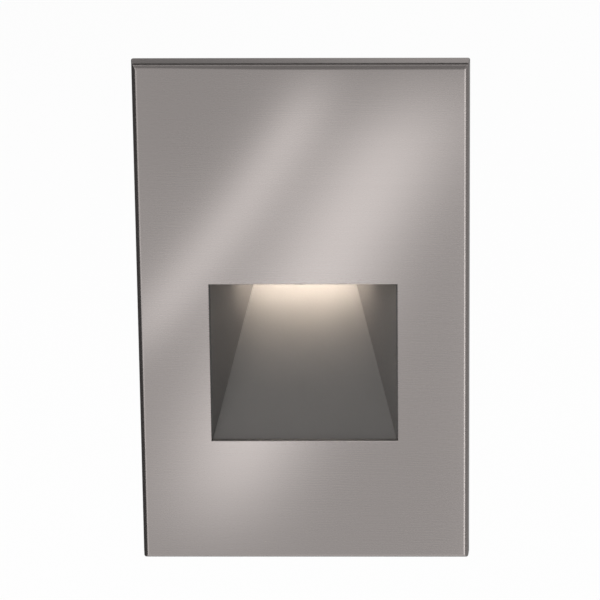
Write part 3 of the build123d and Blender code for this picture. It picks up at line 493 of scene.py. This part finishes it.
def varistor_coating():
    """Blue disc whose legs come out behind it, towards the board."""
    f = Finish("varistor_coating")
    low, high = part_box("varistor")
    leg_length = 1.0 * MM
    return dipped(f, colour=(0.03, 0.1, 0.32), legs=f.y > high.y - leg_length)


def resistor_coating():
    """Grey-green body whose legs come out past its two ends."""
    f = Finish("resistor_coating")
    low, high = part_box("fusible_resistor")
    body_half_length = 4.52 * MM
    along = abs(f.x - (low.x + high.x) / 2)
    return dipped(f, colour=(0.24, 0.34, 0.32), legs=along > body_half_length)


def chip_epoxy():
    """Black moulded epoxy on tinned legs, for the parts that lie flat on the driver board."""
    f = Finish("black_epoxy")

    def legs_of(low, high, leg_height, body_half_width):
        from_middle = abs(f.z - (low.z + high.z) / 2)
        return (f.y > high.y - leg_height) * (from_middle > body_half_width)

    low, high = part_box("bridge_rectifier")
    chip_low, chip_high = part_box("driver_chip")
    rectifier_legs = legs_of(low, high, leg_height=0.61 * MM, body_half_width=3.27 * MM)
    chip_legs = legs_of(chip_low, chip_high, leg_height=0.51 * MM, body_half_width=1.97 * MM)
    is_chip = f.z > (high.z + chip_low.z) / 2
    legs = f.node("ShaderNodeMix", {}, {0: is_chip, 2: rectifier_legs, 3: chip_legs})
    spark = f.noise(3000, detail=2.0)
    black = f.blend((0.02, 0.02, 0.021), (0.04, 0.04, 0.042), spark)
    return f.shaded(
        Base_Color=f.blend(black, TINNED_COLOUR, legs),
        Metallic=legs,
        Roughness=0.5 + spark * 0.1 - legs * 0.2,
        Normal=f.bump(spark, 0.03 * MM),
    )


# ------------------------------------------------------------ sizes and colours that a user sets


class StepLightLook(bpy.types.PropertyGroup):
    plate_colour: bpy.props.FloatVectorProperty(
        name="Plate colour",
        description="Colour of the brushed faceplate",
        subtype="COLOR",
        default=(0.37, 0.338, 0.327),
    )
    plate_roughness: bpy.props.FloatProperty(
        name="Plate roughness",
        description="Blur of reflections in the faceplate",
        subtype="FACTOR",
        default=0.27,
        min=0.0,
        max=1.0,
    )
    grain_depth: bpy.props.FloatProperty(
        name="Grain depth",
        description="Depth of the faceplate's brush lines",
        unit="LENGTH",
        default=0.004 * MM,
    )
    grain_spread: bpy.props.FloatProperty(
        name="Grain spread",
        description="How much more the brush lines blur reflections across them than along them",
        subtype="FACTOR",
        default=0.35,
        min=0.0,
        max=1.0,
    )
    scoop_colour: bpy.props.FloatVectorProperty(
        name="Scoop colour",
        description="Colour of the scoop's coating",
        subtype="COLOR",
        default=(0.092, 0.088, 0.085),
    )
    glow_colour: bpy.props.FloatVectorProperty(
        name="Glow colour",
        description="Colour of the light that leaves the lens",
        subtype="COLOR",
        default=(1.0, 0.84, 0.69),
    )
    glow_strength: bpy.props.FloatProperty(
        name="Glow strength",
        description="Radiance of the lit lens at its rear edge",
        default=48.0,
    )
    beam_lean: bpy.props.FloatProperty(
        name="Beam lean",
        description="How much of the light leaves near the lens's rear edge, as a power",
        default=3.0,
        min=0.0,
    )


class StepLightStudio(bpy.types.PropertyGroup):
    floor_drop: bpy.props.FloatProperty(
        name="Floor drop",
        description="Height of the light's origin above the floor",
        unit="LENGTH",
        default=0.35,
    )
    camera_place: bpy.props.FloatVectorProperty(
        name="Camera place",
        description="Where the camera stands",
        subtype="TRANSLATION",
        unit="LENGTH",
        default=(0.0302182, -1.1828625, 0.598551),
    )
    camera_yaw: bpy.props.FloatProperty(
        name="Camera yaw",
        description="Turn of the camera about the upright axis",
        unit="ROTATION",
        default=math.radians(1.5033),
    )
    camera_pitch: bpy.props.FloatProperty(
        name="Camera pitch",
        description="How far the camera looks down",
        unit="ROTATION",
        default=math.radians(26.7607),
    )
    camera_roll: bpy.props.FloatProperty(
        name="Camera roll",
        description="Turn of the camera about its own line of sight",
        unit="ROTATION",
        default=math.radians(-0.7176),
    )
    camera_lens: bpy.props.FloatProperty(
        name="Focal length",
        description="Focal length on a 36 mm sensor, in millimetres",
        default=346.252,
    )
    key_power: bpy.props.FloatProperty(
        name="Key lamp",
        description="Power of the large lamp above the front",
        default=17.0,
    )
    side_power: bpy.props.FloatProperty(
        name="Side lamp",
        description="Power of each lamp beside and behind",
        default=7.0,
    )
    beam_power: bpy.props.FloatProperty(
        name="Beam",
        description="Power of the strip of light just below the lens",
        default=0.0084,
    )
    world_level: bpy.props.FloatProperty(
        name="World level",
        description="Strength of the light from all round",
        default=0.45,
    )


# ------------------------------------------------------------ one operator for each group of pieces


class STEPLIGHT_OT_faceplate(bpy.types.Operator):
    """Brush the faceplate and give its gasket a foam finish"""

    bl_idname = "steplight.faceplate"
    bl_label = "Faceplate and gasket"

    def execute(self, context):
        put_on(brushed_nickel(context.scene.step_light_look), "faceplate")
        put_on(gasket_foam(), "wall_gasket")
        return {"FINISHED"}


class STEPLIGHT_OT_scoop(bpy.types.Operator):
    """Coat the scoop and give its seals a silicone finish"""

    bl_idname = "steplight.scoop"
    bl_label = "Scoop and seals"

    def execute(self, context):
        silicone = moulded("silicone", colour=(0.3, 0.3, 0.31), roughness=0.55)
        put_on(scoop_coating(context.scene.step_light_look), "scoop")
        put_on(silicone, "scoop_seal", "lens_seal")
        return {"FINISHED"}


class STEPLIGHT_OT_bracket(bpy.types.Operator):
    """Galvanise the mounting bracket and blacken the set screws"""

    bl_idname = "steplight.bracket"
    bl_label = "Bracket and set screws"

    def execute(self, context):
        black = plated_steel("black_steel", colour=(0.05, 0.05, 0.054), roughness=0.4)
        put_on(zinc_steel(), "mounting_bracket")
        put_on(black, "set_screw_left", "set_screw_right")
        return {"FINISHED"}


class STEPLIGHT_OT_housing(bpy.types.Operator):
    """Give the can its cast skin, and finish its fittings and the head's screws"""

    bl_idname = "steplight.housing"
    bl_label = "Housing and fittings"

    def execute(self, context):
        cast = cast_metal("cast_aluminium", colour=(0.5, 0.5, 0.51), roughness=0.52)
        steel = drawn_metal(
            "stainless_steel",
            colour=(0.66, 0.65, 0.63),
            roughness=0.3,
            per_metre=(2500, 2500, 2500),
        )
        nylon = moulded("bushing_nylon", colour=(0.03, 0.03, 0.031), roughness=0.42)
        brass = drawn_metal(
            "brass",
            colour=(0.78, 0.58, 0.26),
            roughness=0.28,
            per_metre=(1500, 4000, 1500),
        )
        green = plated_steel("green_screw", colour=(0.02, 0.2, 0.07), roughness=0.35)
        put_on(cast, "housing")
        put_on(steel, "housing_screws", "heat_spreader_screws", "lens_frame_screws")
        put_on(steel, "led_board_screws", "driver_board_screws")
        put_on(nylon, "lead_bushing")
        put_on(brass, "earth_washer")
        put_on(green, "earth_screw")
        return {"FINISHED"}


class STEPLIGHT_OT_lens(bpy.types.Operator):
    """Frost and light the lens, and texture its frame"""

    bl_idname = "steplight.lens"
    bl_label = "Lens and frame"

    def execute(self, context):
        plastic = moulded("frame_plastic", colour=(0.03, 0.03, 0.032), roughness=0.5)
        put_on(lens_glass(context.scene.step_light_look), "lens")
        put_on(plastic, "lens_frame")
        return {"FINISHED"}


class STEPLIGHT_OT_light_engine(bpy.types.Operator):
    """Finish the emitters' board, its pad, the heat spreader and the two connectors"""

    bl_idname = "steplight.light_engine"
    bl_label = "Light engine"

    def execute(self, context):
        board = circuit_board(
            "white_board",
            mask_colour=(0.82, 0.82, 0.79),
            track_colour=(0.88, 0.87, 0.82),
            across="x",
            up="y",
        )
        pad = moulded("thermal_silicone", colour=(0.4, 0.46, 0.58), roughness=0.7)
        extruded = drawn_metal(
            "extruded_aluminium",
            colour=(0.68, 0.68, 0.69),
            roughness=0.34,
            per_metre=(60, 3000, 3000),
        )
        plastic = moulded("connector_plastic", colour=(0.8, 0.78, 0.7), roughness=0.35)
        put_on(board, "led_board")
        put_on(emitter_package(), "led_emitters")
        put_on(pad, "thermal_pad")
        put_on(extruded, "heat_spreader")
        put_on(plastic, "led_connector", "driver_connector")
        return {"FINISHED"}


class STEPLIGHT_OT_driver(bpy.types.Operator):
    """Finish the driver board, its insulator and all parts on it but the connector"""

    bl_idname = "steplight.driver"
    bl_label = "Driver"

    def execute(self, context):
        board = circuit_board(
            "green_board",
            mask_colour=(0.012, 0.11, 0.045),
            track_colour=(0.03, 0.2, 0.08),
            across="x",
            up="z",
        )
        film = moulded("insulating_film", colour=(0.7, 0.66, 0.5), roughness=0.25)
        ferrite = cast_metal(
            "ferrite",
            colour=(0.07, 0.066, 0.066),
            roughness=0.6,
            grain=3500,
            depth=0.03 * MM,
        )
        case = moulded("film_capacitor_case", colour=(0.6, 0.4, 0.04), roughness=0.28)
        put_on(board, "driver_board")
        put_on(film, "driver_insulator")
        put_on(ferrite, "transformer_core")
        put_on(winding_tape(), "transformer_winding")
        put_on(capacitor_sleeve(), "bulk_capacitor")
        put_on(case, "film_capacitor")
        put_on(chip_epoxy(), "bridge_rectifier", "driver_chip")
        put_on(varistor_coating(), "varistor")
        put_on(resistor_coating(), "fusible_resistor")
        return {"FINISHED"}


class STEPLIGHT_OT_leads(bpy.types.Operator):
    """Colour the two leads between the driver and the light engine"""

    bl_idname = "steplight.leads"
    bl_label = "Inner leads"

    def execute(self, context):
        red = moulded("red_insulation", colour=(0.45, 0.012, 0.012), roughness=0.3)
        black = moulded("black_insulation", colour=(0.018, 0.018, 0.018), roughness=0.3)
        put_on(red, "led_lead_positive")
        put_on(black, "led_lead_negative")
        return {"FINISHED"}


# ------------------------------------------------------------ studio


def glowing(name, level):
    """A material that only gives light, and is clear elsewhere.

    level takes the finish and returns the light's strength and where it covers.
    """
    f = Finish(name)
    strength, cover = level(f)
    glow = f.node("ShaderNodeEmission", {}, {"Strength": strength})
    clear = f.node("ShaderNodeBsdfTransparent", {}, {})
    both = f.node("ShaderNodeMixShader", {}, {0: cover, 1: clear, 2: glow})
    f.node("ShaderNodeOutputMaterial", {}, {"Surface": both})
    f.material.cycles.emission_sampling = "NONE"
    return f.material


def panel(name, place, facing, size, level):
    """A reflector that only shows in glossy surfaces. facing is where its own Z axis points."""
    bpy.ops.object.select_all(action="DESELECT")
    turn = Vector(facing).to_track_quat("Z", "Y").to_euler()
    bpy.ops.mesh.primitive_plane_add(size=1.0, location=place, rotation=turn)
    board = bpy.context.object
    board.name = name
    board.scale = (*size, 1)
    bpy.ops.object.transform_apply(location=False, rotation=False, scale=True)
    board.data.materials.append(glowing(name, level))
    for ray in ("camera", "diffuse", "transmission", "volume_scatter", "shadow"):
        setattr(board, "visible_" + ray, False)


def lamp(name, place, aim, size, power):
    """A rectangular lamp that glossy surfaces don't mirror. Returns its settings."""
    bpy.ops.object.light_add(type="AREA", location=place)
    light = bpy.context.object
    light.name = name
    light.rotation_euler = Vector(aim).to_track_quat("-Z", "Y").to_euler()
    light.visible_glossy = False
    light.data.shape = "RECTANGLE"
    light.data.size, light.data.size_y = size
    light.data.energy = power
    return light.data


def studio_lamp(name, place, size, power):
    """A large square lamp aimed at the object's origin."""
    lamp(name, place, -Vector(place), (size, size), power)


def beam(power):
    """A long strip of warm light just below the lens, aimed back and down at the scoop."""
    place = (
        0,
        EMITTERS_MIDDLE.y - BEAM_AHEAD_OF_EMITTERS,
        LENS_LOW.z - BEAM_BELOW_LENS,
    )
    strip = lamp("beam", place, BEAM_AIM, BEAM_SIZE, power)
    strip.spread = BEAM_SPREAD
    strip.color = BEAM_COLOUR


def soft_strip(x, y, middle, lean, bow, width):
    """A soft strip: middle is its x where y is 0, lean and bow how that moves with y."""
    away = (x - middle - y * lean - y * y * bow) / width
    return (0 - away * away / 2).exp()


def gradient_card(f):
    """The card in front of the plate: an even level with two soft slanting strips on it.

    x and y are about the place on the plate, in millimetres, that mirrors a place on the card.
    """
    card_stretch = 1.008
    x = 0 - f.x / MM
    y = f.y / (card_stretch * MM)
    wide = soft_strip(x, y, middle=-0.7, lean=0.46, bow=0.0014, width=10.5)
    wide = wide * y.band((-68, -30), (40, 68))
    narrow = soft_strip(x, y, middle=-35.2, lean=0.8, bow=-0.0023, width=4.2)
    narrow = narrow * y.band((-18, 4), (48, 68))
    left_line = x.band((-56, -54), (-46, -43))
    right_line = x.band((45, 48), (58, 62))
    even = 0.78 - 0.08 * y.step(16, 56)
    level = even + 0.95 * (wide + narrow) + 0.55 * left_line + 1.5 * right_line
    reach = x.band((-56, -54), (64, 70)) * y.band((-98, -82), (90, 104))
    return level, reach


def even_level(strength):
    """The same strength all over a flag."""
    return lambda f: (strength, 1.0)


def sideways_level(left, right, half_width):
    """A strength that goes from left to right over a flag."""
    return lambda f: (left + f.x.step(-half_width, half_width) * (right - left), 1.0)


def brow_level(f):
    """The flag above the plate's top edge: its lower side rises towards the left corner."""
    strength = 0.36
    rise = f.x.step(0, 40 * MM) * 6 * MM
    return strength, (f.y - rise).step(-15 * MM, -14.5 * MM)


class STEPLIGHT_OT_stage(bpy.types.Operator):
    """Set up the floor, the lamps, the reflectors and the camera"""

    bl_idname = "steplight.stage"
    bl_label = "Studio and camera"

    def execute(self, context):
        studio = context.scene.step_light_studio
        context.scene.view_settings.view_transform = "Standard"
        self.floor(studio)
        self.world(context.scene, studio)
        self.lamps(studio)
        self.reflectors()
        self.camera(context.scene, studio)
        return {"FINISHED"}

    def floor(self, studio):
        """A matte floor that keeps shadows, shows near white, and is clear from below."""
        bpy.ops.object.select_all(action="DESELECT")
        bpy.ops.mesh.primitive_plane_add(size=60.0, location=(0, 0, -studio.floor_drop))
        floor = bpy.context.object
        floor.name = "studio_floor"
        f = Finish("studio_floor")
        mottle = f.noise(3.0, detail=2.0)
        paint = f.blend((0.8, 0.8, 0.8), (0.82, 0.82, 0.82), mottle)
        matte = f.node("ShaderNodeBsdfDiffuse", {}, {"Color": paint})
        white = f.node("ShaderNodeEmission", {}, {"Strength": 1.0})
        lifted = f.node("ShaderNodeMixShader", {}, {0: f.seen() * 0.85, 1: matte, 2: white})
        clear = f.node("ShaderNodeBsdfTransparent", {}, {})
        below = f.node("ShaderNodeNewGeometry", {}, {}, output="Backfacing")
        both = f.node("ShaderNodeMixShader", {}, {0: below, 1: lifted, 2: clear})
        f.node("ShaderNodeOutputMaterial", {}, {"Surface": both})
        floor.data.materials.append(f.material)

    def world(self, scene, studio):
        """Even light from all round, and a pale background where the world is seen."""
        scene.world = bpy.data.worlds.new("studio_world")
        sky = Nodes(scene.world)
        strength = studio.world_level + sky.seen() * (1 - studio.world_level)
        background = sky.node("ShaderNodeBackground", {}, {"Strength": strength})
        sky.node("ShaderNodeOutputWorld", {}, {"Surface": background})

    def lamps(self, studio):
        """Four large lamps round the object, and its own beam."""
        studio_lamp("key_lamp", (-0.35, -1.0, 1.15), size=1.1, power=studio.key_power)
        studio_lamp("left_lamp", (-1.2, 0.35, 0.6), size=0.8, power=studio.side_power)
        studio_lamp("right_lamp", (1.2, 0.35, 0.6), size=0.8, power=studio.side_power)
        studio_lamp("rear_lamp", (0.2, 1.3, 0.8), size=0.9, power=studio.side_power)
        beam(studio.beam_power)

    def reflectors(self):
        """A card that the plate's face mirrors, and small flags close round its edge."""
        # The card's middle is what the plate's middle mirrors to the camera
        card_place = (-0.8 * MM, PLATE_LOW.y - 31 * MM, -15.6 * MM)
        card_size = (180 * MM, 260 * MM)
        panel("gradient_card", card_place, TO_REAR, card_size, gradient_card)
        # The flags stand so close that only the plate's edge mirrors them
        left, right = PLATE_LOW.x - 3.4 * MM, PLATE_HIGH.x + 3.4 * MM
        bottom, top = PLATE_LOW.z - 4 * MM, PLATE_HIGH.z + 4 * MM
        front, back = PLATE_LOW.y - 5.5 * MM, 12 * MM
        middle = (front + back) / 2
        height, width = 142 * MM, 90 * MM
        side = (back - front, height)
        rear = (8 * MM, height)
        top_rear = (width, 12 * MM)
        rising = sideways_level(0.36, 0.72, half_width=40 * MM)
        flags = (
            ("left_flag", (left, middle, -5 * MM), TO_RIGHT, side, even_level(0.1)),
            ("right_flag", (right, middle, -5 * MM), TO_LEFT, side, even_level(0.42)),
            ("left_rear_flag", (left, back, -8 * MM), TO_FRONT, rear, even_level(0.12)),
            ("right_rear_flag", (right, back, -8 * MM), TO_FRONT, rear, even_level(0.42)),
            ("top_rear_flag", (0, back, 72 * MM), TO_FRONT, top_rear, rising),
            ("top_flag", (0, -1.8 * MM, top), DOWN, (width, 5.5 * MM), even_level(0.12)),
            ("brow_flag", (0, -13 * MM, 75 * MM), TO_REAR, (width, 30 * MM), brow_level),
            ("bottom_flag", (0, 4 * MM, bottom), UP, (width, 16 * MM), even_level(0.2)),
        )
        for name, place, facing, size, level in flags:
            panel(name, place, facing, size, level)

    def camera(self, scene, studio):
        """The camera that the photograph was matched with."""
        bpy.ops.object.camera_add()
        camera = bpy.context.object
        camera.name = "photo_camera"
        camera.data.sensor_width = SENSOR_WIDTH_MM
        camera.data.lens = studio.camera_lens
        camera.data.clip_start = 0.01
        camera.data.clip_end = 100.0
        yaw = Matrix.Rotation(studio.camera_yaw, 4, "Z")
        pitch = Matrix.Rotation(math.pi / 2 - studio.camera_pitch, 4, "X")
        roll = Matrix.Rotation(studio.camera_roll, 4, "Z")
        camera.matrix_world = Matrix.Translation(studio.camera_place) @ yaw @ pitch @ roll
        scene.camera = camera


# ------------------------------------------------------------ panel and registration


PIECES = (
    STEPLIGHT_OT_faceplate,
    STEPLIGHT_OT_scoop,
    STEPLIGHT_OT_bracket,
    STEPLIGHT_OT_housing,
    STEPLIGHT_OT_lens,
    STEPLIGHT_OT_light_engine,
    STEPLIGHT_OT_driver,
    STEPLIGHT_OT_leads,
    STEPLIGHT_OT_stage,
)


class STEPLIGHT_PT_pieces(bpy.types.Panel):
    bl_idname = "STEPLIGHT_PT_pieces"
    bl_label = "Step Light"
    bl_space_type = "VIEW_3D"
    bl_region_type = "UI"
    bl_category = "Step Light"

    def draw(self, context):
        column = self.layout.column()
        for piece in PIECES:
            column.operator(piece.bl_idname)
        for settings in (context.scene.step_light_look, context.scene.step_light_studio):
            for name in settings.__annotations__:
                column.prop(settings, name)


def register():
    for kind in (StepLightLook, StepLightStudio, *PIECES, STEPLIGHT_PT_pieces):
        bpy.utils.register_class(kind)
    bpy.types.Scene.step_light_look = bpy.props.PointerProperty(type=StepLightLook)
    bpy.types.Scene.step_light_studio = bpy.props.PointerProperty(type=StepLightStudio)


def unregister():
    del bpy.types.Scene.step_light_look
    del bpy.types.Scene.step_light_studio
    for kind in (STEPLIGHT_PT_pieces, *reversed(PIECES), StepLightStudio, StepLightLook):
        bpy.utils.unregister_class(kind)


def main():
    register()
    for piece in PIECES:
        section, name = piece.bl_idname.split(".")
        getattr(getattr(bpy.ops, section), name)()


if __name__ == "__main__":
    main()
